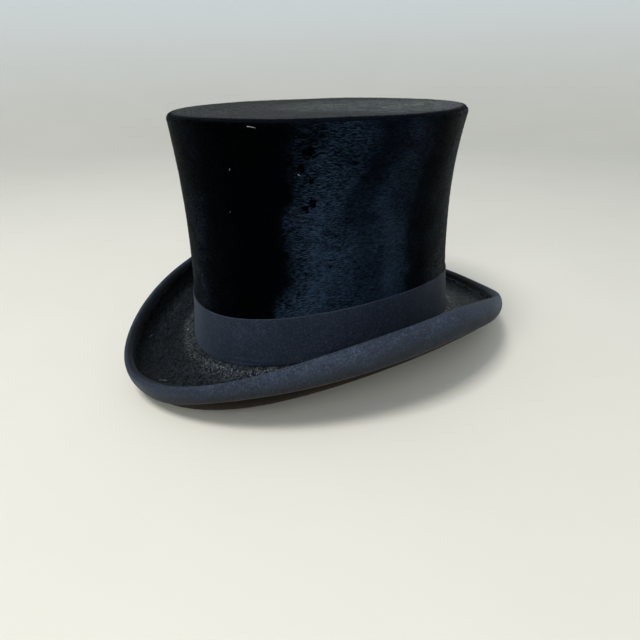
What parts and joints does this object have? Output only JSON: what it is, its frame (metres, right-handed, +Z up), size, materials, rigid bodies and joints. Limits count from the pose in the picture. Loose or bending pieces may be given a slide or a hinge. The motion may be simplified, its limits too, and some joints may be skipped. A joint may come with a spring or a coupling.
{
  "type": "top hat",
  "caption": "Stiff silk-plush top hat with a waisted flat-topped crown, a wide ribbon band and a brim that dips front and back and curls up at the sides.",
  "frame": {"origin": "on the surface that the hat stands on, below the middle of its outline", "axes": "+X to the wearer's front, +Y to the wearer's left, +Z up; the hat's long way is X and its short way is Z"},
  "size_m": [0.3139, 0.249, 0.1696],
  "materials": {
    "goss": "shellacked calico board",
    "silk_plush": "brushed silk plush with a bluish sheen",
    "silk_plush_worn": "worn, dusty silk plush",
    "brim_plush": "matted plush with pale dust",
    "under_cloth": "faded brownish-black wool cloth",
    "binding_ribbon": "ribbed slate ribbon",
    "band_ribbon": "ribbed slate ribbon",
    "lining_silk": "aged satin",
    "sweat_leather": "polished, darkened by wear",
    "cotton_tape": "plain weave",
    "inner_ribbon": "narrow satin ribbon"
  },
  "bodies": {
    "root": {"crown_side_shell": "goss", "crown_tip_board": "goss", "joint_strip": "goss", "brim_board": "goss", "crown_side_plush": "silk_plush", "crown_tip_plush": "silk_plush_worn", "brim_top_plush": "brim_plush", "brim_under_cloth": "under_cloth", "brim_binding": "binding_ribbon", "hat_band": "band_ribbon", "band_bow_loops": "band_ribbon", "band_bow_knot": "band_ribbon", "side_lining": "lining_silk", "tip_lining": "lining_silk", "sweatband": "sweat_leather", "sweatband_reed": "sweat_leather", "sweatband_joint_tape": "cotton_tape", "sweatband_bow": "inner_ribbon"}
  },
  "joints": []
}
